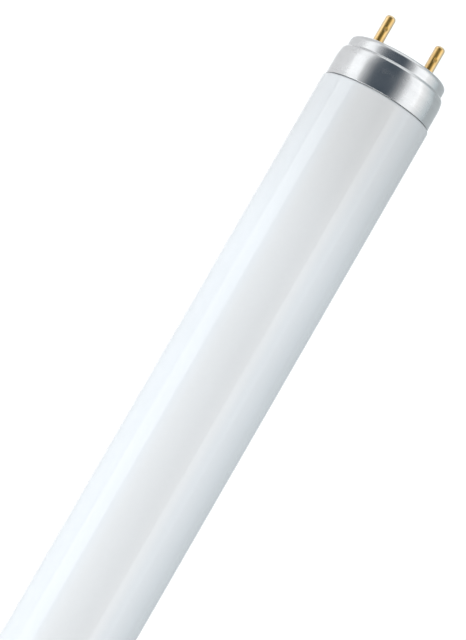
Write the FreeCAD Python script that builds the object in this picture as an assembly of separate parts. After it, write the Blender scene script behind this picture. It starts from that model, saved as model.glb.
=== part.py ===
import FreeCAD, Part
import math
import os

from FreeCAD import Vector

# A straight fluorescent lamp: a sealed glass tube with a two-pin cap cemented on each end.
# X runs along the lamp, Z is up, and the origin is the middle of the tube.
# The pins of both ends lie in the XY plane. Lengths are in millimetres, angles in degrees.
# Each cap is modelled on the X axis with its open rim at x = 0, then moved to its end.

# Whole lamp
FACE_TO_FACE = 588.8        # between the end faces of the two caps
TUBE_DIAMETER = 26.0

# Cap shell, drawn from thin sheet
CAP_HEIGHT = 10.4           # from its open rim to its end face
SHEET_THICKNESS = 0.35
CAP_INSET = 0.4             # the skirt lies this far inside the tube's outline
RIM_FLARE = 0.1             # outward flare of the open rim
RIM_FLARE_HEIGHT = 1.2
CROWN_RADIUS = 9.0          # slow curve above the skirt's straight part
SHOULDER_RADIUS = 0.8       # tight curve that turns the crown in to the collar
SHOULDER_ANGLE = 68.0       # how far the shoulder turns in from the skirt's direction
GROOVE_RADIUS = 0.4         # hollow curve between the shoulder and the collar
COLLAR_STEP = 1.0           # the collar lies this far inside the skirt
COLLAR_HEIGHT = 2.7         # from the groove to the end face
COLLAR_EDGE_RADIUS = 1.3    # rounded edge of the end face

# Insulating plate in the cap's end
PLATE_THICKNESS = 2.2
PLATE_CLEARANCE = 0.05      # all round, inside the shell
PIN_TO_SHELL = 1.3          # insulation between a pin's collar and the edge of the face opening

# Contact pins
PIN_SPACING = 12.7
PIN_DIAMETER = 2.35
PIN_LENGTH = 7.6            # beyond the cap's end face
PIN_TIP_RADIUS = 0.85
PIN_COLLAR_WIDTH = 0.375    # collar on the outside of the plate, beyond the pin's side
PIN_TAIL_STEP = 0.3         # the tail in the plate lies this far inside the pin's side
PIN_HEAD_WIDTH = 0.725      # riveted head on the inside of the plate, beyond the pin's side
PIN_HEAD_THICKNESS = 0.5
PIN_CLEARANCE = 0.02        # radial, in the plate
CRIMP_HEIGHT = 4.2          # middle of the two crimp dents, above the cap's end face
CRIMP_RADIUS = 1.2          # of the tool that makes the dents
CRIMP_DEPTH = 0.12

# Lead wires from the glass stem to the tips of the pins
LEAD_DIAMETER = 0.6
LEAD_CLEARANCE = 0.03       # radial, in a pin
LEAD_SETBACK = 0.15         # the wire is trimmed this far inside the pin's tip
LEAD_BEND_RADIUS = 2.0
LEAD_BEND_GAP = 2.6         # between a pin's head and the bend below it
LEAD_STEM_RUN = 6.0         # straight run where the wire leaves the stem

# Cement between the cap's skirt and the neck of the glass
CEMENT_THICKNESS = 0.2
CEMENT_SETBACK = 0.3        # from the top of the rim's flare

# Ends of the glass
NECK_START = 0.65           # the tube begins to narrow this far before the cap's rim
NECK_RUN_IN = 0.42          # and has its neck size this far past the rim
GLASS_TO_GROOVE = 1.0       # from the glass end to the cap's groove
GLASS_EDGE_RADIUS = 1.75    # rounded edge where the tube turns in to its hollow stem
STEM_TAPER = 13.0           # depth of the stem's tapered mouth, from the glass end
STEM_THROAT = 4.0           # straight part below it
STEM_BORE = 8.8
EXHAUST_DIAMETER = 3.8      # sealed stub of the tube through which the lamp was filled
EXHAUST_PROUD = 0.6         # beyond the glass end

ORIGIN = Vector()
ALONG = Vector(1, 0, 0)
ACROSS = Vector(0, 1, 0)
SAME_POINT = 1e-7


def around(centre, radius, angle):
    """Point on a circle in an outline; angle 0 is away from the axis and 90 is along it."""
    turn = math.radians(angle)
    return centre + Vector(radius * math.sin(turn), radius * math.cos(turn))


# Radii and heights of one end that follow from the sizes above
rim_x = FACE_TO_FACE / 2 - CAP_HEIGHT
tube_radius = TUBE_DIAMETER / 2
skirt_radius = tube_radius - CAP_INSET
collar_radius = skirt_radius - COLLAR_STEP
cement_radius = skirt_radius - SHEET_THICKNESS
neck_radius = cement_radius - CEMENT_THICKNESS
pin_radius = PIN_DIAMETER / 2
pin_offset = PIN_SPACING / 2
pin_tip = CAP_HEIGHT + PIN_LENGTH
pin_collar_radius = pin_radius + PIN_COLLAR_WIDTH
pin_tail_radius = pin_radius - PIN_TAIL_STEP
opening_radius = pin_offset + pin_collar_radius + PIN_TO_SHELL
plate_face = CAP_HEIGHT - SHEET_THICKNESS - PLATE_CLEARANCE
plate_back = plate_face - PLATE_THICKNESS
head_back = plate_back - PIN_HEAD_THICKNESS
lead_radius = LEAD_DIAMETER / 2
exhaust_radius = EXHAUST_DIAMETER / 2
stem_radius = STEM_BORE / 2

# The crown turns in just far enough for the shoulder and the groove to end on the collar
shoulder_run = math.cos(math.radians(SHOULDER_ANGLE))
crown_run = CROWN_RADIUS - COLLAR_STEP - SHOULDER_RADIUS * shoulder_run + GROOVE_RADIUS * (1 - shoulder_run)
crown_angle = math.degrees(math.acos(crown_run / (CROWN_RADIUS - SHOULDER_RADIUS)))
groove_centre = Vector(CAP_HEIGHT - COLLAR_HEIGHT, collar_radius + GROOVE_RADIUS)
shoulder_centre = around(groove_centre, SHOULDER_RADIUS + GROOVE_RADIUS, 180 + SHOULDER_ANGLE)
crown_centre = around(shoulder_centre, CROWN_RADIUS - SHOULDER_RADIUS, 180 + crown_angle)
skirt_top = crown_centre.x
glass_end = groove_centre.x - GLASS_TO_GROOVE
stem_floor = glass_end - STEM_TAPER - STEM_THROAT


class Outline:
    """Lines and arcs in the XY plane, with X along the axis and Y the distance from it."""

    def __init__(self, along, out):
        self.first = Vector(along, out)
        self.last = self.first
        self.edges = []

    def line(self, along, out):
        end = Vector(along, out)
        if not end.isEqual(self.last, SAME_POINT):
            self.edges.append(Part.makeLine(self.last, end))
            self.last = end

    def arc(self, centre, radius, start_angle, end_angle):
        """Arc about a centre, with a line to its start where the outline isn't there yet."""
        middle_angle = (start_angle + end_angle) / 2
        angles = (start_angle, middle_angle, end_angle)
        start, middle, end = [around(centre, radius, angle) for angle in angles]
        self.line(start.x, start.y)
        self.edges.append(Part.Arc(self.last, middle, end).toShape())
        self.last = end

    def spun(self):
        """Closed, and turned about the X axis to a solid."""
        self.line(self.first.x, self.first.y)
        return spin(self.edges)


def spin(edges):
    face = Part.Face(Part.Wire(Part.__sortEdges__(edges)))
    return face.revolve(ORIGIN, ALONG, 360)


def bar(start, end, radius, hole_radius=0):
    """Round bar on the X axis, with a hole through it where one is given."""
    outline = Outline(start, hole_radius)
    outline.line(start, radius)
    outline.line(end, radius)
    outline.line(end, hole_radius)
    return outline.spun()


def cap_form(inset):
    """Solid whose skin is the cap's outer skin, moved in by an inset."""
    flare_radius = (RIM_FLARE_HEIGHT ** 2 + RIM_FLARE ** 2) / (2 * RIM_FLARE)
    flare_centre = Vector(RIM_FLARE_HEIGHT, skirt_radius + flare_radius)
    flare_angle = math.degrees(math.asin(RIM_FLARE_HEIGHT / (flare_radius + inset)))
    edge_centre = Vector(CAP_HEIGHT - COLLAR_EDGE_RADIUS, collar_radius - COLLAR_EDGE_RADIUS)
    form = Outline(0, 0)
    form.arc(flare_centre, flare_radius + inset, 180 + flare_angle, 180)
    form.arc(crown_centre, CROWN_RADIUS - inset, 0, crown_angle)
    form.arc(shoulder_centre, SHOULDER_RADIUS - inset, crown_angle, SHOULDER_ANGLE)
    form.arc(groove_centre, GROOVE_RADIUS + inset, 180 + SHOULDER_ANGLE, 180)
    form.arc(edge_centre, COLLAR_EDGE_RADIUS - inset, 0, 90)
    form.line(CAP_HEIGHT - inset, 0)
    return form.spun()


def cap_shell():
    """Drawn cup with a round opening pierced in its end face."""
    cup = cap_form(0).cut(cap_form(SHEET_THICKNESS))
    return cup.cut(bar(plate_back, pin_tip, opening_radius))


def insulator_plate():
    """Plate that fills the inside of the collar, with a hole for each pin."""
    plate = cap_form(SHEET_THICKNESS + PLATE_CLEARANCE).cut(bar(-CAP_HEIGHT, plate_back, TUBE_DIAMETER))
    for side in (-1, 1):
        hole = bar(head_back, pin_tip, pin_tail_radius + PIN_CLEARANCE)
        plate = plate.cut(hole.translated(ACROSS * side * pin_offset))
    return plate


def contact_pin():
    """Hollow riveted pin on the X axis, with a rounded tip and a crimp dent above and below."""
    bore_radius = lead_radius + LEAD_CLEARANCE
    tip_centre = Vector(pin_tip - PIN_TIP_RADIUS, pin_radius - PIN_TIP_RADIUS)
    outline = Outline(head_back, bore_radius)
    outline.line(head_back, pin_radius + PIN_HEAD_WIDTH)
    outline.line(plate_back, pin_radius + PIN_HEAD_WIDTH)
    outline.line(plate_back, pin_tail_radius)
    outline.line(plate_face, pin_tail_radius)
    outline.line(plate_face, pin_collar_radius)
    outline.line(CAP_HEIGHT, pin_collar_radius)
    outline.line(CAP_HEIGHT, pin_radius)
    outline.arc(tip_centre, PIN_TIP_RADIUS, 0, 90)
    outline.line(pin_tip, bore_radius)
    pin = outline.spun()
    for side in (-1, 1):
        tool_height = side * (pin_radius + CRIMP_RADIUS - CRIMP_DEPTH)
        tool_start = Vector(CAP_HEIGHT + CRIMP_HEIGHT, -PIN_DIAMETER, tool_height)
        pin = pin.cut(Part.makeCylinder(CRIMP_RADIUS, 2 * PIN_DIAMETER, tool_start, ACROSS))
    return pin


def lead_wire():
    """Wire from the floor of the stem to the tip of the pin on the +Y side."""
    stem_offset = (exhaust_radius + stem_radius) / 2
    points = [
        Vector(stem_floor, stem_offset),
        Vector(stem_floor + LEAD_STEM_RUN, stem_offset),
        Vector(head_back - LEAD_BEND_GAP, pin_offset),
        Vector(pin_tip - LEAD_SETBACK, pin_offset),
    ]
    edges = []
    last = points[0]
    for before, corner, after in zip(points, points[1:], points[2:]):
        way_in = (corner - before).normalize()
        way_out = (after - corner).normalize()
        half_turn = way_in.getAngle(way_out) / 2
        reach = LEAD_BEND_RADIUS * math.tan(half_turn)
        cut_corner = LEAD_BEND_RADIUS / math.cos(half_turn) - LEAD_BEND_RADIUS
        start = corner - way_in * reach
        middle = corner + (way_out - way_in).normalize() * cut_corner
        end = corner + way_out * reach
        edges.append(Part.makeLine(last, start))
        edges.append(Part.Arc(start, middle, end).toShape())
        last = end
    edges.append(Part.makeLine(last, points[-1]))
    section = Part.Wire(Part.makeCircle(lead_radius, points[0], ALONG))
    return Part.Wire(edges).makePipeShell([section], True, True)


def cement_ring():
    """Cement between the glass neck and the straight part of the skirt."""
    return bar(RIM_FLARE_HEIGHT + CEMENT_SETBACK, skirt_top, cement_radius, neck_radius)


def mirrored(shape):
    return shape.mirror(ORIGIN, ALONG)


def glass_tube():
    """Sealed tube, necked at both ends, with a hollow stem and a sealed exhaust stub in each end."""
    half_length = (NECK_START + NECK_RUN_IN) / 2
    half_depth = (tube_radius - neck_radius) / 2
    bend_radius = (half_length ** 2 + half_depth ** 2) / (2 * half_depth)
    bend_angle = math.degrees(math.asin(half_length / bend_radius))
    tube_bend = Vector(rim_x - NECK_START, tube_radius - bend_radius)
    neck_bend = Vector(rim_x + NECK_RUN_IN, neck_radius + bend_radius)
    edge_centre = Vector(rim_x + glass_end - GLASS_EDGE_RADIUS, neck_radius - GLASS_EDGE_RADIUS)
    stub_centre = Vector(rim_x + glass_end + EXHAUST_PROUD - exhaust_radius, 0)

    right = Outline(tube_bend.x, tube_radius)
    right.arc(tube_bend, bend_radius, 0, bend_angle)
    right.arc(neck_bend, bend_radius, 180 + bend_angle, 180)
    right.arc(edge_centre, GLASS_EDGE_RADIUS, 0, 180)
    right.line(rim_x + stem_floor + STEM_THROAT, stem_radius)
    right.line(rim_x + stem_floor, stem_radius)
    right.line(rim_x + stem_floor, exhaust_radius)
    right.arc(stub_centre, exhaust_radius, 0, 90)

    left = [mirrored(edge) for edge in right.edges]
    wall = Part.makeLine(Vector(-right.first.x, right.first.y), right.first)
    axis = Part.makeLine(Vector(-right.last.x, right.last.y), right.last)
    return spin(right.edges + left + [wall, axis])


def cap_pieces():
    """Pieces of one end by name, on the X axis with the cap's rim at x = 0."""
    rear_pin = contact_pin().translated(ACROSS * pin_offset)
    rear_lead = lead_wire()
    return {
        "cap_shell": cap_shell(),
        "insulator_plate": insulator_plate(),
        "cement_ring": cement_ring(),
        "rear_pin": rear_pin,
        "front_pin": rear_pin.mirror(ORIGIN, ACROSS),
        "rear_lead": rear_lead,
        "front_lead": rear_lead.mirror(ORIGIN, ACROSS),
    }


def lamp_pieces():
    pieces = {"glass_tube": glass_tube()}
    for name, shape in cap_pieces().items():
        right = shape.translated(ALONG * rim_x)
        pieces["right_" + name] = right
        pieces["left_" + name] = mirrored(right)
    return pieces


os.makedirs("parts", exist_ok=True)
for name, shape in lamp_pieces().items():
    shape.exportStep(os.path.join("parts", name + ".step"))
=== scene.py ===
import math

import bpy
from bpy.props import FloatProperty, FloatVectorProperty, IntProperty, PointerProperty
from mathutils import Matrix, Vector


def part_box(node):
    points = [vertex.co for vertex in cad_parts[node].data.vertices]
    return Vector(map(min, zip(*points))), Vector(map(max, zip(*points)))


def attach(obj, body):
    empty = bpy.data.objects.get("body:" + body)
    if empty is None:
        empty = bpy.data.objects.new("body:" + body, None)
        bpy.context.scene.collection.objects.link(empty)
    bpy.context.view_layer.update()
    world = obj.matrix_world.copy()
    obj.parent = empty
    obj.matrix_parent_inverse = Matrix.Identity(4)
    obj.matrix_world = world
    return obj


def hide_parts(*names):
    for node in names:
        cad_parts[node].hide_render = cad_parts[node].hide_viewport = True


bl_info = {
    "name": "Fluorescent Tube",
    "version": (1, 0, 0),
    "blender": (4, 5, 0),
    "location": "3D View > Sidebar > Lamp",
    "description": "Dresses a straight fluorescent tube and sets it in a plain studio",
    "category": "Object",
}

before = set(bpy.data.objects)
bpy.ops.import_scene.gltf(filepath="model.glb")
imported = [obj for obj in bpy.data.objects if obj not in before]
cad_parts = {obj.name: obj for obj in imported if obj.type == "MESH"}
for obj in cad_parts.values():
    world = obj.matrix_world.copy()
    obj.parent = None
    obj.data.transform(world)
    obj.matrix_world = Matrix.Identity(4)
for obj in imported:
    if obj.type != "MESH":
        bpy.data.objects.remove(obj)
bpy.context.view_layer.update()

MM = 0.001
BODY = "root"
ENDS = ("left", "right")
SIDES = ("front", "rear")
IMAGE_SIZE = (466, 640)     # pixels
ARC_STEP = 5.0              # degrees between the points of an arc in an outline
CORNER_STEPS = 6            # parts of a rounded corner in an outline
MERGE_DISTANCE = 4e-7       # metres


def length(name, millimetres, description):
    """Length property with a default in millimetres."""
    return FloatProperty(
        name=name,
        description=description,
        default=millimetres * MM,
        min=0.0,
        precision=5,
        unit="LENGTH",
    )


def colour(name, value, description):
    return FloatVectorProperty(
        name=name,
        description=description,
        default=value,
        size=3,
        min=0.0,
        max=1.0,
        subtype="COLOR",
    )


def amount(name, value, description):
    return FloatProperty(name=name, description=description, default=value, min=0.0)


def count(name, value, description):
    return IntProperty(name=name, description=description, default=value, min=12)


def turn(name, degrees, description):
    """Angle property with a default in degrees."""
    return FloatProperty(
        name=name,
        description=description,
        default=math.radians(degrees),
        subtype="ANGLE",
    )


class LampSizes(bpy.types.PropertyGroup):
    """Sizes of the lamp, as in the part's source."""

    rim_place: length("Rim Place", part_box("right_cap_shell")[0].x / MM, "From the middle to a cap's rim")
    tube_radius: length("Tube Radius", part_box("glass_tube")[1].y / MM, "Outside radius of the glass")
    cap_height: length("Cap Height", 10.4, "From the open rim to the end face")
    sheet: length("Sheet", 0.35, "Thickness of the cap's sheet")
    cap_inset: length("Cap Inset", 0.4, "How far the skirt lies inside the tube's outline")
    flare: length("Rim Flare", 0.1, "Outward flare of the open rim")
    flare_height: length("Flare Height", 1.2, "Height of the flare")
    crown_radius: length("Crown Radius", 9.0, "Slow curve above the skirt's straight part")
    shoulder_radius: length("Shoulder Radius", 0.8, "Tight curve that turns the crown in")
    shoulder_turn: turn("Shoulder Turn", 68.0, "How far the shoulder turns in")
    groove_radius: length("Groove Radius", 0.4, "Hollow curve between shoulder and collar")
    collar_step: length("Collar Step", 1.0, "How far the collar lies inside the skirt")
    collar_height: length("Collar Height", 2.7, "From the groove to the end face")
    collar_edge: length("Collar Edge", 1.3, "Rounded edge of the end face")
    opening_radius: length("Opening Radius", 9.2, "Opening in the cap's end face")
    sheet_edge: length("Sheet Edge", 0.11, "Rounding of the sheet's edges")
    neck_radius: length("Neck Radius", 12.05, "Radius of the glass inside the cap")
    neck_start: length("Neck Start", 0.65, "The glass begins to narrow this far before the rim")
    neck_run_in: length("Neck Run-in", 0.42, "The neck has its radius this far past the rim")
    glass_end: length("Glass End", 6.7, "End of the glass, from the rim")
    glass_edge: length("Glass Edge", 1.75, "Rounded edge where the tube turns in to its stem")
    stem_taper: length("Stem Taper", 13.0, "Depth of the stem's tapered mouth")
    stem_throat: length("Stem Throat", 4.0, "Straight part below the mouth")
    stem_radius: length("Stem Radius", 4.4, "Radius of the throat")
    exhaust_radius: length("Exhaust Radius", 1.9, "Radius of the sealed exhaust stub")
    exhaust_proud: length("Exhaust Proud", 0.6, "Stub beyond the glass end")
    pin_spacing: length("Pin Spacing", 12.7, "Between the two pins of an end")
    pin_radius: length("Pin Radius", 1.175, "Radius of a contact pin")
    pin_length: length("Pin Length", 7.6, "Pin beyond the cap's end face")
    pin_tip: length("Pin Tip", 0.85, "Rounding of a pin's tip")
    pin_bore: length("Pin Bore", 0.33, "Hole for the lead wire")
    pin_collar_radius: length("Pin Collar Radius", 1.55, "Collar on the outside of the plate")
    pin_collar_height: length("Pin Collar Height", 0.4, "Height of that collar")
    pin_tail_radius: length("Pin Tail Radius", 0.875, "Tail of the pin in the plate")
    pin_head_radius: length("Pin Head Radius", 1.9, "Riveted head behind the plate")
    pin_head_height: length("Pin Head Height", 0.5, "Height of that head")
    plate_thickness: length("Plate Thickness", 2.2, "Insulating plate in the cap's end")
    crimp_height: length("Crimp Height", 4.2, "Middle of the crimp dents, above the end face")
    crimp_radius: length("Crimp Radius", 1.2, "Tool that makes the dents")
    crimp_depth: length("Crimp Depth", 0.12, "Depth of a dent")
    crimp_softness: length("Crimp Softness", 0.03, "Rounding of a dent's edge")
    pin_edge: length("Pin Edge", 0.09, "Rounding of a pin's other edges")
    round_steps: count("Round Steps", 224, "Faces round the glass and the caps")
    pin_steps: count("Pin Steps", 72, "Faces round a pin")


class LampFinishes(bpy.types.PropertyGroup):
    """Colours of the lamp's finishes."""

    coating: colour("Coating", (0.872, 0.884, 0.892), "White coating seen through the glass")
    # The coating's colour fades to this greyer one over the End Fade before each cap
    coating_end: colour("Coating End", (0.757, 0.759, 0.757), "Thinner, greyer coating near a cap")
    # Painted sheen: a bluish tint where the coating turns away from the camera, standing in for bluish side
    # light
    painted_glancing_blue: colour("Painted Glancing Blue", (0.93, 0.958, 0.985), "Bluish tint of the coating where it turns away")
    end_fade: length("End Fade", 46.0, "Length over which the coating thins towards a cap")
    aluminium: colour("Aluminium", (0.85, 0.856, 0.862), "Bright drawn sheet")
    aluminium_dull: colour("Dull Aluminium", (0.70, 0.708, 0.715), "Handled sheet")
    brass: colour("Brass", (1.0, 0.61, 0.15), "Bright drawn brass")
    # Painted sheen: paler brass where a pin turns away from the camera
    painted_brass_sheen: colour("Painted Brass Sheen", (1.0, 0.93, 0.76), "Paler brass where it turns away")
    brass_dull: colour("Dull Brass", (0.78, 0.48, 0.13), "Tarnish on the brass")
    phenolic: colour("Phenolic", (0.105, 0.066, 0.043), "Insulating plate")
    phenolic_pale: colour("Pale Phenolic", (0.17, 0.115, 0.075), "Paper fibres in the plate")
    wire: colour("Wire", (0.66, 0.63, 0.59), "Tinned lead wire")
    wire_dull: colour("Dull Wire", (0.40, 0.37, 0.34), "Oxide on the wire")
    cement: colour("Cement", (0.55, 0.46, 0.35), "Baked basing cement")
    cement_dark: colour("Dark Cement", (0.36, 0.28, 0.20), "Scorched parts of the cement")


class LampStudio(bpy.types.PropertyGroup):
    """Floor, light and camera."""

    floor: colour("Floor", (0.80, 0.79, 0.79), "Floor on the left")
    floor_right: colour("Right Floor", (0.30, 0.34, 0.35), "Greyer floor on the right")
    floor_half: length("Floor Half", 2300.0, "Half width of the floor")
    floor_drop: length("Floor Drop", 450.0, "Floor below the lamp's axis")
    floor_edge: length("Floor Edge", 1200.0, "The floor begins to fade this far from the lamp's middle")
    floor_fade: length("Floor Fade", 1000.0, "Soft run from the floor to the backdrop")
    grade_start: length("Grade Start", 350.0, "The floor turns paler from this far on the right")
    grade_run: length("Grade Run", 650.0, "Soft run from the greyer floor to the paler")
    floor_fill: amount("Floor Fill", 0.66, "White added to the floor, for the camera and in reflections")
    right_fill: amount("Right Fill", 0.35, "Share of that white on the right, in reflections")
    pool_shift: length("Pool Shift", 85.0, "Floor that reflections show white, this far to the right")
    pool_half: length("Pool Half", 110.0, "Half width of that floor")
    pool_fade: length("Pool Fade", 150.0, "Soft run at its sides")
    pool_end: length("Pool End", 550.0, "It begins to fade this far along the lamp")
    pool_end_fade: length("Pool End Fade", 300.0, "Soft run at its end")
    backdrop: colour("Backdrop", (0.92, 0.925, 0.93), "Plain backdrop beyond the floor")
    room: colour("Room", (0.945, 0.945, 0.94), "Light of the walls")
    end_room: colour("End Room", (0.46, 0.49, 0.51), "Light beyond the right-hand pins")
    low_room: colour("Low Room", (0.53, 0.61, 0.64), "Light low on the right")
    ceiling: colour("Ceiling", (0.052, 0.070, 0.092), "Light of the dark ceiling")
    ceiling_left: turn("Ceiling Left", 41.0, "From the zenith to the dark ceiling's left side")
    ceiling_right: turn("Ceiling Right", -1.0, "From the zenith to the dark ceiling's right side")
    ceiling_fade: turn("Ceiling Fade", 30.0, "Soft run from the ceiling to the walls")
    wall_left: turn("Wall Left", 94.0, "From the zenith to the brighter part of the left wall")
    wall_right: turn("Wall Right", 54.0, "From the zenith to the brighter part of the right wall")
    wall_edge: turn("Wall Edge", 6.0, "Soft edge of that brighter part")
    wall_share: amount("Wall Share", 0.55, "Share of a wall's light that its soft run gives")
    low_start: turn("Low Start", 62.0, "From the zenith to the darker, low part of the right wall")
    low_fade: turn("Low Fade", 40.0, "Soft run to that low part")
    left_light: amount("Left Light", 0.68, "Brightness of the left softbox")
    fill_light: amount("Fill Light", 1.2, "Brightness of the softbox on the left, beside the middle")
    right_light: amount("Right Light", 0.62, "Brightness of the right softbox")
    top_light: amount("Top Light", 2.45, "Brightness of the softbox over the far end")
    end_light: amount("End Light", 0.5, "Brightness of the softbox beyond the pins")
    light_colour: colour("Light Colour", (0.975, 0.99, 1.0), "Colour of the side softboxes")
    fill_colour: colour("Fill Colour", (0.89, 0.955, 1.0), "Colour of the softbox beside the middle")
    lean: turn("Lean", 10.3, "The pins lean away from the camera by this much")
    roll: turn("Roll", 11.0, "Turn of the pins about the lamp's axis, seen by the camera")
    rise: turn("Rise", 60.03, "Slope of the lamp in the picture")
    camera_distance: length("Camera Distance", 4000.0, "From the camera to the right-hand rim")
    picture_height: length("Picture Height", 137.4, "Height of the picture at the lamp")


# Outlines


def around(centre, radius, degrees):
    """Point on a circle in an outline; 0 is away from the axis and 90 is along it."""
    angle = math.radians(degrees)
    return centre[0] + radius * math.sin(angle), centre[1] + radius * math.cos(angle)


class Outline:
    """Half section: pairs of the place along the lamp and the distance from its axis."""

    def __init__(self, along, out):
        self.points = [(along, out)]

    def line(self, along, out, parts=1):
        start = self.points[-1]
        for part in range(1, parts + 1):
            self.points.append(between(start, (along, out), part / parts))

    def arc(self, centre, radius, start, end):
        steps = max(3, math.ceil(abs(end - start) / ARC_STEP))
        for step in range(steps + 1):
            point = around(centre, radius, start + (end - start) * step / steps)
            if math.dist(point, self.points[-1]) > MERGE_DISTANCE:
                self.points.append(point)

    def corner(self, point, after, radius):
        """Rounded corner at a point, on the way from the last point to the one after."""
        before = self.points[-1]
        start = step_towards(point, before, radius)
        end = step_towards(point, after, radius)
        for step in range(CORNER_STEPS + 1):
            share = step / CORNER_STEPS
            self.points.append(between(between(start, point, share), between(point, end, share), share))


def between(point, other, share):
    """Point at a share of the way to another."""
    return tuple(a + (b - a) * share for a, b in zip(point, other))


def step_towards(point, other, distance):
    return between(point, other, distance / math.dist(point, other))


def moved(points, along):
    return [(x + along, out) for x, out in points]


def turned_over(points):
    """The same outline at the other end of the lamp."""
    return [(-x, out) for x, out in reversed(points)]


def cap_outline(sizes):
    """Closed section of a cap's sheet, with its open rim at 0."""
    skirt = sizes.tube_radius - sizes.cap_inset
    collar = skirt - sizes.collar_step
    shoulder_turn = math.degrees(sizes.shoulder_turn)
    run = math.cos(sizes.shoulder_turn)
    bends = sizes.shoulder_radius * run - sizes.groove_radius * (1 - run)
    crown_run = sizes.crown_radius - sizes.collar_step - bends
    crown_turn = math.degrees(math.acos(crown_run / (sizes.crown_radius - sizes.shoulder_radius)))
    groove = (sizes.cap_height - sizes.collar_height, collar + sizes.groove_radius)
    shoulder = around(groove, sizes.shoulder_radius + sizes.groove_radius, 180 + shoulder_turn)
    crown = around(shoulder, sizes.crown_radius - sizes.shoulder_radius, 180 + crown_turn)
    edge = (sizes.cap_height - sizes.collar_edge, collar - sizes.collar_edge)
    flare_radius = (sizes.flare_height ** 2 + sizes.flare ** 2) / (2 * sizes.flare)
    flare = (sizes.flare_height, skirt + flare_radius)

    def skin(inset):
        """Points of one side of the sheet, from the rim to the face opening."""
        flare_turn = math.degrees(math.asin(sizes.flare_height / (flare_radius + inset)))
        side = Outline(*around(flare, flare_radius + inset, 180 + flare_turn))
        side.arc(flare, flare_radius + inset, 180 + flare_turn, 180)
        side.line(crown[0], skirt - inset, 4)
        side.arc(crown, sizes.crown_radius - inset, 0, crown_turn)
        side.arc(shoulder, sizes.shoulder_radius - inset, crown_turn, shoulder_turn)
        side.arc(groove, sizes.groove_radius + inset, 180 + shoulder_turn, 180)
        side.line(edge[0], collar - inset, 2)
        side.arc(edge, sizes.collar_edge - inset, 0, 90)
        side.line(sizes.cap_height - inset, sizes.opening_radius, 2)
        return side.points

    outside = skin(0.0)
    inside = skin(sizes.sheet)[::-1]
    section = Outline(*outside[1])
    section.points = outside[1:-1]
    section.corner(outside[-1], inside[0], sizes.sheet_edge)
    section.corner(inside[0], inside[1], sizes.sheet_edge)
    section.points += inside[1:-1]
    section.corner(inside[-1], outside[0], sizes.sheet_edge)
    section.corner(outside[0], outside[1], sizes.sheet_edge)
    section.points.append(section.points[0])
    return section.points


def glass_outline(sizes):
    """Section of the sealed tube from end to end, both points on the axis."""
    half_length = (sizes.neck_start + sizes.neck_run_in) / 2
    half_depth = (sizes.tube_radius - sizes.neck_radius) / 2
    bend_radius = (half_length ** 2 + half_depth ** 2) / (2 * half_depth)
    bend = math.degrees(math.asin(half_length / bend_radius))
    tube_bend = (sizes.rim_place - sizes.neck_start, sizes.tube_radius - bend_radius)
    neck_bend = (sizes.rim_place + sizes.neck_run_in, sizes.neck_radius + bend_radius)
    end = sizes.rim_place + sizes.glass_end
    edge = (end - sizes.glass_edge, sizes.neck_radius - sizes.glass_edge)
    floor = end - sizes.stem_taper - sizes.stem_throat
    stub = (end + sizes.exhaust_proud - sizes.exhaust_radius, 0.0)

    right = Outline(0.0, sizes.tube_radius)
    right.line(tube_bend[0], sizes.tube_radius, 24)
    right.arc(tube_bend, bend_radius, 0, bend)
    right.arc(neck_bend, bend_radius, 180 + bend, 180)
    right.arc(edge, sizes.glass_edge, 0, 180)
    right.line(floor + sizes.stem_throat, sizes.stem_radius, 4)
    right.line(floor, sizes.stem_radius, 2)
    right.line(floor, sizes.exhaust_radius)
    right.arc(stub, sizes.exhaust_radius, 0, 90)
    return turned_over(right.points)[:-1] + right.points


def pin_outline(sizes):
    """Closed section of a hollow riveted pin, with the cap's end face at 0."""
    plate_face = -sizes.pin_collar_height
    plate_back = plate_face - sizes.plate_thickness
    head_back = plate_back - sizes.pin_head_height
    wall_end = sizes.pin_length - sizes.pin_tip
    tip = (wall_end, sizes.pin_radius - sizes.pin_tip)
    soft = sizes.pin_edge
    dent_reach = 0.55 * sizes.crimp_radius      # along the wall, each way from the dents' middle
    tip_turn = 82                               # degrees of the tip's curve, up to the mouth of the bore

    pin = Outline(head_back, sizes.pin_bore)
    pin.corner((head_back, sizes.pin_head_radius), (plate_back, sizes.pin_head_radius), soft)
    pin.corner((plate_back, sizes.pin_head_radius), (plate_back, sizes.pin_tail_radius), soft)
    pin.line(plate_back, sizes.pin_tail_radius)
    pin.line(plate_face, sizes.pin_tail_radius)
    pin.line(plate_face, sizes.pin_collar_radius)
    pin.corner((0.0, sizes.pin_collar_radius), (0.0, sizes.pin_radius), 2 * soft)
    pin.corner((0.0, sizes.pin_radius), (wall_end, sizes.pin_radius), soft)
    pin.line(sizes.crimp_height - dent_reach, sizes.pin_radius, 4)
    pin.line(sizes.crimp_height + dent_reach, sizes.pin_radius, 40)
    pin.line(wall_end, sizes.pin_radius, 6)
    pin.arc(tip, sizes.pin_tip, 0, tip_turn)
    pin.corner((sizes.pin_length, sizes.pin_bore), (wall_end, sizes.pin_bore), soft)
    pin.line(head_back, sizes.pin_bore, 4)
    return pin.points


# Node trees


def add_node(tree, kind, inputs=None, **settings):
    """New node with its settings, and its inputs set or linked."""
    node = tree.nodes.new(kind)
    for name, value in settings.items():
        setattr(node, name, value)
    for key, value in (inputs or {}).items():
        if isinstance(value, bpy.types.NodeSocket):
            tree.links.new(value, node.inputs[key])
        else:
            node.inputs[key].default_value = value
    return node


def maths(tree, operation, *values):
    """Output of a Math node; each value is a socket or a number."""
    node = add_node(tree, "ShaderNodeMath", dict(enumerate(values)), operation=operation)
    return node.outputs[0]


def weighted(tree, first, first_share, second, second_share):
    """Sum of two values, each times its share."""
    return maths(tree, "MULTIPLY_ADD", first, first_share, maths(tree, "MULTIPLY", second, second_share))


def spread(tree, value, low, high):
    """A value from 0 to 1, mapped to a range."""
    return add_node(
        tree, "ShaderNodeMapRange", {"Value": value, "To Min": low, "To Max": high}
    ).outputs["Result"]


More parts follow.
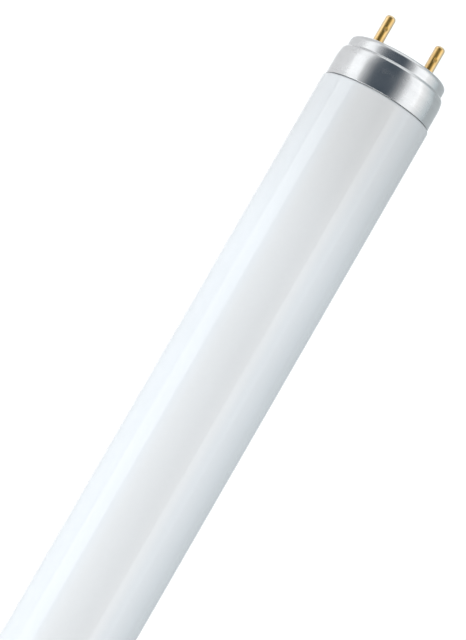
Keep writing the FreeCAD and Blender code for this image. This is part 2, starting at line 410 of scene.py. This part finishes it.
def soft_step(tree, value, start, run):
    """0 up to the start, 1 after the run and smooth between them."""
    return add_node(
        tree,
        "ShaderNodeMapRange",
        {"Value": value, "From Min": start, "From Max": start + run},
        interpolation_type="SMOOTHSTEP",
    ).outputs["Result"]


def whole_maths(tree, operation, *values):
    """Output of an Integer Math node."""
    node = add_node(tree, "FunctionNodeIntegerMath", dict(enumerate(values)), operation=operation)
    return node.outputs[0]


def new_tree(name, kind, inputs, outputs):
    """Node group with named sockets; each input is a name, a socket type and a default."""
    tree = bpy.data.node_groups.new(name, kind)
    for label, socket_type, default in inputs:
        socket = tree.interface.new_socket(label, in_out="INPUT", socket_type=socket_type)
        if default is not None:
            socket.default_value = default
    for label, socket_type in outputs:
        tree.interface.new_socket(label, in_out="OUTPUT", socket_type=socket_type)
    return tree, tree.nodes.new("NodeGroupInput").outputs, tree.nodes.new("NodeGroupOutput").inputs


def lathe_tree():
    """Geometry Nodes tree that turns an outline round the X axis."""
    name = "lamp_lathe"
    if name in bpy.data.node_groups:
        return bpy.data.node_groups[name]
    tree, given, result = new_tree(
        name,
        "GeometryNodeTree",
        [
            ("Outline", "NodeSocketGeometry", None),
            ("Steps", "NodeSocketInt", 64),
            ("Finish", "NodeSocketMaterial", None),
        ],
        [("Turned Piece", "NodeSocketGeometry")],
    )
    tree.is_modifier = True
    outline_size = add_node(
        tree, "GeometryNodeAttributeDomainSize", {"Geometry": given["Outline"]}, component="MESH"
    )
    columns = whole_maths(tree, "ADD", given["Steps"], 1)
    rows = outline_size.outputs["Point Count"]
    grid = add_node(tree, "GeometryNodeMeshGrid", {"Vertices X": rows, "Vertices Y": columns})
    index = add_node(tree, "GeometryNodeInputIndex").outputs[0]
    place = add_node(tree, "GeometryNodeInputPosition").outputs[0]
    sample = add_node(
        tree,
        "GeometryNodeSampleIndex",
        {"Geometry": given["Outline"], "Index": whole_maths(tree, "DIVIDE_FLOOR", index, columns)},
        data_type="FLOAT_VECTOR",
        domain="POINT",
    )
    tree.links.new(place, next(s for s in sample.inputs if s.name == "Value" and s.enabled))
    point = add_node(
        tree,
        "ShaderNodeSeparateXYZ",
        {0: next(s for s in sample.outputs if s.enabled)},
    ).outputs
    share = maths(tree, "DIVIDE", whole_maths(tree, "MODULO", index, columns), given["Steps"])
    angle = maths(tree, "MULTIPLY", share, math.tau)
    target = add_node(
        tree,
        "ShaderNodeCombineXYZ",
        {
            "X": point["X"],
            "Y": maths(tree, "MULTIPLY", point["Y"], maths(tree, "COSINE", angle)),
            "Z": maths(tree, "MULTIPLY", point["Y"], maths(tree, "SINE", angle)),
        },
    ).outputs[0]
    bent = add_node(tree, "GeometryNodeSetPosition", {"Geometry": grid.outputs["Mesh"], "Position": target})
    closed = add_node(
        tree, "GeometryNodeMergeByDistance", {"Geometry": bent.outputs[0], "Distance": MERGE_DISTANCE}
    )
    outward = add_node(tree, "GeometryNodeFlipFaces", {"Mesh": closed.outputs[0]})
    smooth = add_node(tree, "GeometryNodeSetShadeSmooth", {"Geometry": outward.outputs[0]})
    real = add_node(tree, "GeometryNodeRealizeInstances", {"Geometry": smooth.outputs[0]})
    finished = add_node(
        tree, "GeometryNodeSetMaterial", {"Geometry": real.outputs[0], "Material": given["Finish"]}
    )
    tree.links.new(finished.outputs[0], result[0])
    return tree


def pin_set_tree():
    """Geometry Nodes tree that turns a pin, crimps it and sets one at each corner of the pin pattern."""
    tree, given, result = new_tree(
        "lamp_pin_set",
        "GeometryNodeTree",
        [
            ("Outline", "NodeSocketGeometry", None),
            ("Steps", "NodeSocketInt", 64),
            ("Face Place", "NodeSocketFloat", 0.0),
            ("Pin Spacing", "NodeSocketFloat", 0.0),
            ("Pin Radius", "NodeSocketFloat", 0.0),
            ("Crimp Height", "NodeSocketFloat", 0.0),
            ("Crimp Radius", "NodeSocketFloat", 0.0),
            ("Crimp Depth", "NodeSocketFloat", 0.0),
            ("Crimp Softness", "NodeSocketFloat", 0.0),
            ("Finish", "NodeSocketMaterial", None),
        ],
        [("Pins", "NodeSocketGeometry")],
    )
    tree.is_modifier = True
    lathe = add_node(tree, "GeometryNodeGroup", node_tree=lathe_tree())
    for label in ("Outline", "Steps", "Finish"):
        tree.links.new(given[label], lathe.inputs[label])

    place = add_node(tree, "GeometryNodeInputPosition").outputs[0]
    point = add_node(tree, "ShaderNodeSeparateXYZ", {0: place}).outputs
    offset = maths(tree, "ABSOLUTE", maths(tree, "SUBTRACT", point["X"], given["Crimp Height"]))
    tool_square = maths(tree, "MULTIPLY", given["Crimp Radius"], given["Crimp Radius"])
    reach_square = maths(tree, "SUBTRACT", tool_square, maths(tree, "MULTIPLY", offset, offset))
    reach = maths(tree, "SQRT", maths(tree, "MAXIMUM", reach_square, 0.0))
    tool_clear = maths(tree, "ADD", given["Pin Radius"], given["Crimp Radius"])
    tool_middle = maths(tree, "SUBTRACT", tool_clear, given["Crimp Depth"])
    limit = maths(tree, "SUBTRACT", tool_middle, reach)
    height = maths(tree, "SMOOTH_MIN", maths(tree, "ABSOLUTE", point["Z"]), limit, given["Crimp Softness"])
    pressed = add_node(
        tree,
        "ShaderNodeCombineXYZ",
        {
            "X": point["X"],
            "Y": point["Y"],
            "Z": maths(tree, "MULTIPLY", height, maths(tree, "SIGN", point["Z"])),
        },
    ).outputs[0]
    near = add_node(
        tree,
        "FunctionNodeCompare",
        {0: offset, 1: given["Crimp Radius"]},
        data_type="FLOAT",
        operation="LESS_THAN",
    ).outputs[0]
    crimped = add_node(
        tree,
        "GeometryNodeSetPosition",
        {"Geometry": lathe.outputs[0], "Selection": near, "Position": pressed},
    )

    index = add_node(tree, "GeometryNodeInputIndex").outputs[0]
    side = maths(tree, "SUBTRACT", whole_maths(tree, "MODULO", index, 2), 0.5)
    end = maths(tree, "MULTIPLY_ADD", whole_maths(tree, "DIVIDE_FLOOR", index, 2), 2.0, -1.0)
    spot = add_node(
        tree,
        "ShaderNodeCombineXYZ",
        {
            "X": maths(tree, "MULTIPLY", end, given["Face Place"]),
            "Y": maths(tree, "MULTIPLY", side, given["Pin Spacing"]),
        },
    ).outputs[0]
    spots = add_node(tree, "GeometryNodePoints", {"Count": len(ENDS) * len(SIDES), "Position": spot})
    half_turn = maths(tree, "MULTIPLY_ADD", end, -math.pi / 2, math.pi / 2)
    way = add_node(tree, "ShaderNodeCombineXYZ", {"Z": half_turn}).outputs[0]
    spin = add_node(tree, "FunctionNodeEulerToRotation", {0: way}).outputs[0]
    pins = add_node(
        tree,
        "GeometryNodeInstanceOnPoints",
        {"Points": spots.outputs[0], "Instance": crimped.outputs[0], "Rotation": spin},
    )
    real = add_node(tree, "GeometryNodeRealizeInstances", {"Geometry": pins.outputs[0]})
    finished = add_node(
        tree, "GeometryNodeSetMaterial", {"Geometry": real.outputs[0], "Material": given["Finish"]}
    )
    tree.links.new(finished.outputs[0], result[0])
    return tree


def grown_piece(name, points, tree, values):
    """Object whose plain mesh is what a Geometry Nodes tree makes of an outline."""
    mesh = bpy.data.meshes.new(name + "_outline")
    mesh.from_pydata([(x, out, 0.0) for x, out in points], [(i, i + 1) for i in range(len(points) - 1)], [])
    piece = bpy.data.objects.new(name, mesh)
    modifier = piece.modifiers.new("Grow", "NODES")
    modifier.node_group = tree
    sockets = [item for item in tree.interface.items_tree if item.in_out == "INPUT"]
    identifiers = {socket.name: socket.identifier for socket in sockets}
    for label, value in values.items():
        modifier[identifiers[label]] = value
    bpy.context.scene.collection.objects.link(piece)
    graph = bpy.context.evaluated_depsgraph_get()
    grown = bpy.data.meshes.new_from_object(piece.evaluated_get(graph), depsgraph=graph)
    piece.modifiers.remove(modifier)
    piece.data = grown
    grown.name = name
    bpy.data.meshes.remove(mesh)
    if not grown.polygons:
        raise RuntimeError(f"{name} has no faces")
    return piece


# Finishes


def ring_lines_group():
    """Shader group: fine lines round the X axis, as drawing and turning leave them."""
    name = "lamp_ring_lines"
    if name in bpy.data.node_groups:
        return bpy.data.node_groups[name]
    tree, given, result = new_tree(
        name,
        "ShaderNodeTree",
        [("Lines per Metre", "NodeSocketFloat", 5000.0), ("Run", "NodeSocketFloat", 0.02)],
        [("Height", "NodeSocketFloat"), ("Shade", "NodeSocketFloat")],
    )
    place = add_node(tree, "ShaderNodeTexCoord").outputs["Object"]
    squeeze = add_node(
        tree, "ShaderNodeCombineXYZ", {"X": 1.0, "Y": given["Run"], "Z": given["Run"]}
    ).outputs[0]
    lined = add_node(tree, "ShaderNodeVectorMath", {0: place, 1: squeeze}, operation="MULTIPLY").outputs[0]
    fine = add_node(
        tree,
        "ShaderNodeTexNoise",
        {"Vector": lined, "Scale": given["Lines per Metre"], "Detail": 2.0, "Roughness": 0.6},
    ).outputs["Fac"]
    wide_scale = maths(tree, "MULTIPLY", given["Lines per Metre"], 0.16)
    wide = add_node(
        tree,
        "ShaderNodeTexNoise",
        {"Vector": lined, "Scale": wide_scale, "Detail": 1.0, "Roughness": 0.5},
    ).outputs["Fac"]
    height = maths(tree, "MULTIPLY_ADD", wide, 1.6, fine)
    shade = add_node(
        tree, "ShaderNodeMapRange", {"Value": height, "From Min": 0.85, "From Max": 1.75}
    ).outputs["Result"]
    tree.links.new(height, result["Height"])
    tree.links.new(shade, result["Shade"])
    return tree


def handling_group():
    """Shader group: soft smudges and a scatter of small specks."""
    name = "lamp_handling"
    if name in bpy.data.node_groups:
        return bpy.data.node_groups[name]
    tree, given, result = new_tree(
        name,
        "ShaderNodeTree",
        [
            ("Smudges per Metre", "NodeSocketFloat", 60.0),
            ("Specks per Metre", "NodeSocketFloat", 700.0),
            ("Speck Size", "NodeSocketFloat", 0.12),
        ],
        [("Smudge", "NodeSocketFloat"), ("Speck", "NodeSocketFloat")],
    )
    place = add_node(tree, "ShaderNodeTexCoord").outputs["Object"]
    cloud = add_node(
        tree,
        "ShaderNodeTexNoise",
        {"Vector": place, "Scale": given["Smudges per Metre"], "Detail": 5.0, "Roughness": 0.62},
    ).outputs["Fac"]
    smudge = soft_step(tree, cloud, 0.38, 0.3)
    grains = add_node(
        tree, "ShaderNodeTexVoronoi", {"Vector": place, "Scale": given["Specks per Metre"]}, feature="F1"
    ).outputs["Distance"]
    speck = add_node(
        tree,
        "ShaderNodeMapRange",
        {"Value": grains, "From Min": given["Speck Size"], "From Max": 0.0, "To Min": 0.0, "To Max": 1.0},
    ).outputs["Result"]
    sparse = add_node(
        tree, "ShaderNodeMapRange", {"Value": cloud, "From Min": 0.5, "From Max": 0.62}
    ).outputs["Result"]
    tree.links.new(smudge, result["Smudge"])
    tree.links.new(maths(tree, "MULTIPLY", speck, sparse), result["Speck"])
    return tree


def ring_lines(tree, lines_per_metre, run):
    """Outputs of the group of ring lines, placed in a finish."""
    values = {"Lines per Metre": lines_per_metre, "Run": run}
    return add_node(tree, "ShaderNodeGroup", values, node_tree=ring_lines_group()).outputs


def handling_marks(tree, smudges, specks=700.0, speck_size=0.12):
    """Outputs of the handling group, placed in a finish."""
    values = {"Smudges per Metre": smudges, "Specks per Metre": specks, "Speck Size": speck_size}
    return add_node(tree, "ShaderNodeGroup", values, node_tree=handling_group()).outputs


def new_finish(name, **sockets):
    """Material with a Principled shader, its constant sockets set."""
    finish = bpy.data.materials.new(name)
    finish.use_nodes = True
    tree = finish.node_tree
    shader = tree.nodes["Principled BSDF"]
    for label, value in sockets.items():
        shader.inputs[label.replace("_", " ")].default_value = value
    return finish, tree, shader


def blend_colours(tree, share, first, second, kind="MIX"):
    """Mix of two colours; each is a socket or three numbers."""
    node = tree.nodes.new("ShaderNodeMix")
    node.data_type = "RGBA"
    node.blend_type = kind
    node.clamp_factor = True
    sockets = [s for s in node.inputs if s.enabled]
    for socket, value in zip(sockets, (share, first, second)):
        if isinstance(value, bpy.types.NodeSocket):
            tree.links.new(value, socket)
        else:
            socket.default_value = (*value, 1.0)
    return next(s for s in node.outputs if s.enabled)


def set_roughness(tree, shader, marks, smooth, smudged, in_specks=0.0):
    """Roughness that grows with smudges, and more in specks."""
    rough = spread(tree, marks["Smudge"], smooth, smudged)
    if in_specks:
        rough = maths(tree, "MULTIPLY_ADD", marks["Speck"], in_specks, rough)
    tree.links.new(rough, shader.inputs["Roughness"])


def bump(tree, shader, height, distance, strength):
    node = add_node(tree, "ShaderNodeBump", {"Height": height, "Distance": distance, "Strength": strength})
    tree.links.new(node.outputs["Normal"], shader.inputs["Normal"])


def coated_glass(sizes, finishes):
    """Smooth glass over a white coating that greys towards the caps, with a painted bluish sheen where it
    turns away from the camera.
    """
    # Both faces of the glass reflect, so its index is higher than that of one face.
    finish, tree, shader = new_finish("coated_glass", IOR=2.0)
    marks = handling_marks(tree, 38.0, 520.0, 0.1)
    place = add_node(tree, "ShaderNodeTexCoord").outputs["Object"]
    along = maths(tree, "ABSOLUTE", add_node(tree, "ShaderNodeSeparateXYZ", {0: place}).outputs["X"])
    # The coating's colour turns greyer over the last stretch before each cap
    cap_grey_share = soft_step(tree, along, sizes.rim_place - finishes.end_fade, finishes.end_fade)
    grain = add_node(
        tree, "ShaderNodeTexNoise", {"Vector": place, "Scale": 900.0, "Detail": 3.0, "Roughness": 0.6}
    ).outputs["Fac"]
    white = blend_colours(tree, cap_grey_share, finishes.coating, finishes.coating_end)
    mottle = weighted(tree, grain, 0.05, marks["Smudge"], 0.03)
    shaded = blend_colours(tree, mottle, white, [0.55 * c for c in finishes.coating_end])
    # Painted sheen: the coating is tinted bluish where its surface turns away from the camera, standing in
    # for the bluish light from the sides
    facing = add_node(tree, "ShaderNodeLayerWeight", {"Blend": 0.5}).outputs["Facing"]
    painted_blue_share = soft_step(tree, facing, 0.05, 0.12)
    seen = blend_colours(tree, painted_blue_share, shaded, finishes.painted_glancing_blue, "MULTIPLY")
    tree.links.new(seen, shader.inputs["Base Color"])
    set_roughness(tree, shader, marks, 0.055, 0.085, 0.15)
    return finish


def drawn_aluminium(finishes):
    """Bright drawn sheet with fine lines round it and a little handling."""
    finish, tree, shader = new_finish("drawn_aluminium", Metallic=1.0)
    lines = ring_lines(tree, 5200.0, 0.02)
    marks = handling_marks(tree, 150.0, 1500.0, 0.16)
    worn = weighted(tree, lines["Shade"], 0.35, marks["Smudge"], 0.25)
    sheet = blend_colours(tree, worn, finishes.aluminium, finishes.aluminium_dull)
    tree.links.new(sheet, shader.inputs["Base Color"])
    set_roughness(tree, shader, marks, 0.22, 0.29, 0.15)
    bump(tree, shader, lines["Height"], 0.00001, 0.35)
    return finish


def pin_brass(finishes):
    """Drawn brass with a painted paler sheen where it turns away from the camera, tarnished in patches."""
    finish, tree, shader = new_finish("pin_brass", Metallic=1.0)
    lines = ring_lines(tree, 7000.0, 0.1)
    marks = handling_marks(tree, 420.0, 2600.0, 0.18)
    worn = weighted(tree, lines["Shade"], 0.2, marks["Smudge"], 0.25)
    # Painted sheen: the brass turns paler towards the pin's outline as the camera sees it, standing in for
    # a brighter reflection there
    edge = add_node(tree, "ShaderNodeLayerWeight", {"Blend": 0.72}).outputs["Facing"]
    painted_sheen_brass = blend_colours(tree, edge, finishes.brass, finishes.painted_brass_sheen)
    tree.links.new(blend_colours(tree, worn, painted_sheen_brass, finishes.brass_dull), shader.inputs["Base Color"])
    set_roughness(tree, shader, marks, 0.31, 0.40, 0.12)
    bump(tree, shader, lines["Height"], 0.000008, 0.35)
    return finish


def plate_phenolic(finishes):
    """Brown paper laminate with pale fibres."""
    finish, tree, shader = new_finish("plate_phenolic")
    marks = handling_marks(tree, 300.0)
    place = add_node(tree, "ShaderNodeTexCoord").outputs["Object"]
    stretched = add_node(
        tree, "ShaderNodeMapping", {"Vector": place, "Scale": (1.0, 1.0, 0.22), "Rotation": (0.5, 0.0, 0.0)}
    ).outputs[0]
    fibre = add_node(
        tree, "ShaderNodeTexNoise", {"Vector": stretched, "Scale": 4200.0, "Detail": 4.0, "Roughness": 0.65}
    ).outputs["Fac"]
    pale = add_node(
        tree, "ShaderNodeMapRange", {"Value": fibre, "From Min": 0.45, "From Max": 0.75}
    ).outputs["Result"]
    brown = blend_colours(tree, pale, finishes.phenolic, finishes.phenolic_pale)
    tree.links.new(brown, shader.inputs["Base Color"])
    set_roughness(tree, shader, marks, 0.38, 0.52)
    bump(tree, shader, fibre, 0.00003, 0.4)
    return finish


def lead_wire(finishes):
    """Tinned wire with an oxide bloom."""
    finish, tree, shader = new_finish("lead_wire", Metallic=1.0)
    lines = ring_lines(tree, 3000.0, 0.5)
    marks = handling_marks(tree, 500.0)
    tinned = blend_colours(tree, marks["Smudge"], finishes.wire, finishes.wire_dull)
    tree.links.new(tinned, shader.inputs["Base Color"])
    set_roughness(tree, shader, marks, 0.28, 0.5)
    bump(tree, shader, lines["Height"], 0.00001, 0.4)
    return finish


def basing_cement(finishes):
    """Chalky baked resin with scorched patches and grains."""
    finish, tree, shader = new_finish("basing_cement")
    marks = handling_marks(tree, 350.0, 3000.0, 0.3)
    scorch = weighted(tree, marks["Speck"], 0.4, marks["Smudge"], 0.7)
    baked = blend_colours(tree, scorch, finishes.cement, finishes.cement_dark)
    tree.links.new(baked, shader.inputs["Base Color"])
    set_roughness(tree, shader, marks, 0.8, 0.95)
    bump(tree, shader, marks["Speck"], 0.00006, 0.5)
    return finish


def dress(node_names, finish):
    """Gives CAD nodes that stay a better material."""
    for name in node_names:
        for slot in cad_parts[name].material_slots:
            slot.material = finish


def end_nodes(*names):
    """Names of like CAD nodes at both ends."""
    return [f"{end}_{name}" for end in ENDS for name in names]


# Operators


class LAMP_OT_glass_tube(bpy.types.Operator):
    """Make the sealed glass tube with its narrowed ends and hollow stems"""

    bl_idname = "lamp.glass_tube"
    bl_label = "Glass Tube"

    def execute(self, context):
        sizes = context.scene.lamp_sizes
        finish = coated_glass(sizes, context.scene.lamp_finishes)
        values = {"Steps": sizes.round_steps, "Finish": finish}
        tube = grown_piece("coated_tube", glass_outline(sizes), lathe_tree(), values)
        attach(tube, BODY)
        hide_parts("glass_tube")
        return {"FINISHED"}


class LAMP_OT_caps(bpy.types.Operator):
    """Make the two drawn caps"""

    bl_idname = "lamp.caps"
    bl_label = "Caps"

    def execute(self, context):
        sizes = context.scene.lamp_sizes
        finish = drawn_aluminium(context.scene.lamp_finishes)
        values = {"Steps": sizes.round_steps, "Finish": finish}
        right = moved(cap_outline(sizes), sizes.rim_place)
        for end, points in (("left", turned_over(right)), ("right", right)):
            cap = grown_piece(f"{end}_drawn_cap", points, lathe_tree(), values)
            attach(cap, BODY)
            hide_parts(f"{end}_cap_shell")
        return {"FINISHED"}


class LAMP_OT_pins(bpy.types.Operator):
    """Make the four contact pins with their crimp dents"""

    bl_idname = "lamp.pins"
    bl_label = "Contact Pins"

    def execute(self, context):
        sizes = context.scene.lamp_sizes
        finish = pin_brass(context.scene.lamp_finishes)
        values = {
            "Steps": sizes.pin_steps,
            "Face Place": sizes.rim_place + sizes.cap_height,
            "Pin Spacing": sizes.pin_spacing,
            "Pin Radius": sizes.pin_radius,
            "Crimp Height": sizes.crimp_height,
            "Crimp Radius": sizes.crimp_radius,
            "Crimp Depth": sizes.crimp_depth,
            "Crimp Softness": sizes.crimp_softness,
            "Finish": finish,
        }
        pins = grown_piece("contact_pins", pin_outline(sizes), pin_set_tree(), values)
        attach(pins, BODY)
        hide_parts(*end_nodes(*[f"{side}_pin" for side in SIDES]))
        return {"FINISHED"}


class LAMP_OT_inner_pieces(bpy.types.Operator):
    """Finish the insulating plates, the lead wires and the cement"""

    bl_idname = "lamp.inner_pieces"
    bl_label = "Plates, Wires and Cement"

    def execute(self, context):
        finishes = context.scene.lamp_finishes
        dress(end_nodes("insulator_plate"), plate_phenolic(finishes))
        dress(end_nodes(*[f"{side}_lead" for side in SIDES]), lead_wire(finishes))
        dress(end_nodes("cement_ring"), basing_cement(finishes))
        return {"FINISHED"}


class LAMP_OT_stage(bpy.types.Operator):
    """Make the floor, the room's light, the softboxes and the camera"""

    bl_idname = "lamp.stage"
    bl_label = "Stage"

    def execute(self, context):
        sizes = context.scene.lamp_sizes
        studio = context.scene.lamp_studio
        make_floor(studio)
        make_room(context.scene, studio)
        make_softboxes(studio)
        make_camera(context.scene, sizes, studio)
        context.scene.view_settings.view_transform = "Standard"
        return {"FINISHED"}


# Stage


def make_floor(studio):
    """Wide pale floor that keeps the shadow and fades into the backdrop.

    The camera sees it white all over. Metal and glass see it white below the lamp and greyer on the right.
    """
    half = studio.floor_half
    corners = ((-half, -half), (half, -half), (half, half), (-half, half))
    mesh = bpy.data.meshes.new("floor")
    mesh.from_pydata([(x, y, -studio.floor_drop) for x, y in corners], [], [(0, 1, 2, 3)])
    floor = bpy.data.objects.new("floor", mesh)
    bpy.context.scene.collection.objects.link(floor)
    finish = bpy.data.materials.new("pale_floor")
    finish.use_nodes = True
    tree = finish.node_tree
    tree.nodes.remove(tree.nodes["Principled BSDF"])
    place = add_node(tree, "ShaderNodeTexCoord").outputs["Object"]
    paper = add_node(
        tree, "ShaderNodeTexNoise", {"Vector": place, "Scale": 30.0, "Detail": 4.0}
    ).outputs["Fac"]
    spot = add_node(tree, "ShaderNodeSeparateXYZ", {0: place}).outputs
    to_left = soft_step(tree, spot["Y"], -studio.grade_start, studio.grade_run)
    graded = blend_colours(tree, to_left, studio.floor_right, studio.floor)
    pale = blend_colours(tree, maths(tree, "MULTIPLY", paper, 0.04), graded, (0.6, 0.6, 0.6))
    matt = add_node(tree, "ShaderNodeBsdfDiffuse", {"Color": pale})

    sideways = maths(tree, "ABSOLUTE", maths(tree, "ADD", spot["Y"], studio.pool_shift))
    beside_pool = soft_step(tree, sideways, studio.pool_half, studio.pool_fade)
    past_pool = soft_step(tree, spot["X"], studio.pool_end, studio.pool_end_fade)
    pool = maths(tree, "MULTIPLY", spread(tree, beside_pool, 1.0, 0.0), spread(tree, past_pool, 1.0, 0.0))
    filled = maths(tree, "MAXIMUM", pool, spread(tree, to_left, studio.right_fill, 0.0))
    rays = add_node(tree, "ShaderNodeLightPath").outputs
    mirrored = maths(tree, "MAXIMUM", rays["Is Glossy Ray"], rays["Is Transmission Ray"])
    seen = maths(tree, "MAXIMUM", rays["Is Camera Ray"], maths(tree, "MULTIPLY", filled, mirrored))
    fill = maths(tree, "MULTIPLY", seen, studio.floor_fill)
    white = add_node(tree, "ShaderNodeEmission", {"Strength": fill})
    both = add_node(tree, "ShaderNodeAddShader", {0: matt.outputs[0], 1: white.outputs[0]})

    away = add_node(tree, "ShaderNodeVectorMath", {0: place}, operation="LENGTH").outputs["Value"]
    outer = soft_step(tree, away, studio.floor_edge, studio.floor_fade)
    faded = maths(tree, "MULTIPLY", outer, rays["Is Camera Ray"])
    clear = add_node(tree, "ShaderNodeBsdfTransparent")
    whole = add_node(tree, "ShaderNodeMixShader", {0: faded, 1: both.outputs[0], 2: clear.outputs[0]})
    tree.links.new(whole.outputs[0], tree.nodes["Material Output"].inputs["Surface"])
    mesh.materials.append(finish)


def make_room(scene, studio):
    """Pale walls and a dark ceiling along the lamp, for its reflections; the camera sees a plain backdrop.

    Each wall grows in a long soft run and then a short one, so that its edge shows softly on the metal.
    """
    end_start, end_run = 0.78, 0.2      # parts of a direction along +X
    right_run = 0.3                     # part of a direction to the right
    world = bpy.data.worlds.new("studio_room")
    scene.world = world
    world.use_nodes = True
    tree = world.node_tree
    direction = add_node(tree, "ShaderNodeTexCoord").outputs["Generated"]
    point = add_node(tree, "ShaderNodeSeparateXYZ", {0: direction}).outputs
    to_left = maths(tree, "ARCTAN2", point["Y"], point["Z"])
    to_right = maths(tree, "MULTIPLY", to_left, -1.0)
    walls = []
    for angle, start, edge in (
        (to_left, studio.ceiling_left, studio.wall_left),
        (to_right, studio.ceiling_right, studio.wall_right),
    ):
        soft = soft_step(tree, angle, start, studio.ceiling_fade)
        rest = soft_step(tree, angle, edge, studio.wall_edge)
        walls.append(weighted(tree, soft, studio.wall_share, rest, 1.0 - studio.wall_share))
    low = soft_step(tree, to_right, studio.low_start, studio.low_fade)
    on_right = soft_step(tree, maths(tree, "MULTIPLY", point["Y"], -1.0), 0.0, right_run)
    low_right = maths(tree, "MULTIPLY", low, on_right)
    side = blend_colours(tree, low_right, studio.room, studio.low_room)
    over = blend_colours(tree, maths(tree, "MAXIMUM", *walls), studio.ceiling, side)
    end_wall = soft_step(tree, point["X"], end_start, end_run)
    light = blend_colours(tree, end_wall, over, studio.end_room)
    rays = add_node(tree, "ShaderNodeLightPath").outputs
    shown = blend_colours(tree, rays["Is Camera Ray"], light, studio.backdrop)
    tree.links.new(shown, tree.nodes["Background"].inputs["Color"])


def make_softbox(name, place, target, size, brightness, tint):
    """Area light of a given brightness that faces a point."""
    lamp = bpy.data.lights.new(name, "AREA")
    lamp.shape = "RECTANGLE"
    lamp.size, lamp.size_y = size
    lamp.energy = brightness * math.pi * size[0] * size[1]
    lamp.color = tint
    box = bpy.data.objects.new(name, lamp)
    box.visible_camera = False
    back = (Vector(place) - Vector(target)).normalized()
    up = back.cross(Vector((1.0, 0.0, 0.0))).normalized()
    along = up.cross(back)
    box.matrix_world = Matrix.Translation(place) @ Matrix((along, up, back)).transposed().to_4x4()
    bpy.context.scene.collection.objects.link(box)


def make_softboxes(studio):
    """Two boxes on the left, one high on the right, one over the far end and one beyond the pins."""
    tint = studio.light_colour
    plain = (1.0, 1.0, 0.99)
    middle = (0.0, 0.0, 0.0)
    near_end = (0.2, 0.0, 0.0)
    pins = (0.3, 0.0, 0.0)
    for name, place, target, size, brightness, shade in (
        ("left_softbox", (0.2, 1.7, 0.17), near_end, (4.0, 0.9), studio.left_light, tint),
        ("fill_softbox", (-2.0, 2.6, 0.6), near_end, (4.8, 1.6), studio.fill_light, studio.fill_colour),
        ("right_softbox", (0.0, -0.682, 0.731), middle, (2.4, 0.61), studio.right_light, tint),
        ("top_softbox", (-1.75, 1.1, 1.65), near_end, (3.1, 3.6), studio.top_light, plain),
        ("end_softbox", (1.9, 0.0, 0.2), pins, (1.3, 1.5), studio.end_light, plain),
    ):
        make_softbox(name, place, target, size, brightness, shade)


def make_camera(scene, sizes, studio):
    """Camera that looks down on the right-hand end, with the pins leaning away from it."""
    along = Vector((math.cos(studio.rise), math.sin(studio.rise), 0.0))
    across = Vector((math.sin(studio.rise), -math.cos(studio.rise), 0.0))
    back = Vector((0.0, 0.0, 1.0))
    lamp_x = along * math.cos(studio.lean) - back * math.sin(studio.lean)
    facing = along * math.sin(studio.lean) + back * math.cos(studio.lean)
    lamp_y = facing * math.sin(studio.roll) - across * math.cos(studio.roll)
    lamp_z = facing * math.cos(studio.roll) + across * math.sin(studio.roll)
    to_world = Matrix((lamp_x, lamp_y, lamp_z))
    pixel = studio.picture_height / IMAGE_SIZE[1]
    rim_in_picture = (375.8, 103.0)
    rim_seen = Vector((
        (rim_in_picture[0] - IMAGE_SIZE[0] / 2) * pixel,
        (IMAGE_SIZE[1] / 2 - rim_in_picture[1]) * pixel,
        -studio.camera_distance,
    ))
    rim = Vector((sizes.rim_place, 0.0, 0.0))
    data = bpy.data.cameras.new("camera")
    data.sensor_width = 36.0
    data.lens = data.sensor_width * studio.camera_distance / studio.picture_height
    data.clip_end = 100.0
    camera = bpy.data.objects.new("camera", data)
    camera.matrix_world = Matrix.Translation(rim - to_world @ rim_seen) @ to_world.to_4x4()
    scene.collection.objects.link(camera)
    scene.camera = camera


# Panel and registration


class LAMP_PT_panel(bpy.types.Panel):
    """Lists the lamp's operators and properties"""

    bl_idname = "LAMP_PT_panel"
    bl_label = "Fluorescent Tube"
    bl_space_type = "VIEW_3D"
    bl_region_type = "UI"
    bl_category = "Lamp"

    def draw(self, context):
        layout = self.layout
        for operator in OPERATORS:
            layout.operator(operator.bl_idname)
        for group in (context.scene.lamp_sizes, context.scene.lamp_finishes, context.scene.lamp_studio):
            box = layout.box()
            for name in group.__annotations__:
                box.prop(group, name)


OPERATORS = (LAMP_OT_glass_tube, LAMP_OT_caps, LAMP_OT_pins, LAMP_OT_inner_pieces, LAMP_OT_stage)
CLASSES = (LampSizes, LampFinishes, LampStudio, *OPERATORS, LAMP_PT_panel)


def register():
    for cls in CLASSES:
        bpy.utils.register_class(cls)
    bpy.types.Scene.lamp_sizes = PointerProperty(type=LampSizes)
    bpy.types.Scene.lamp_finishes = PointerProperty(type=LampFinishes)
    bpy.types.Scene.lamp_studio = PointerProperty(type=LampStudio)


def unregister():
    del bpy.types.Scene.lamp_studio
    del bpy.types.Scene.lamp_finishes
    del bpy.types.Scene.lamp_sizes
    for cls in reversed(CLASSES):
        bpy.utils.unregister_class(cls)


def main():
    register()
    bpy.ops.lamp.glass_tube()
    bpy.ops.lamp.caps()
    bpy.ops.lamp.pins()
    bpy.ops.lamp.inner_pieces()
    bpy.ops.lamp.stage()


if __name__ == "__main__":
    main()
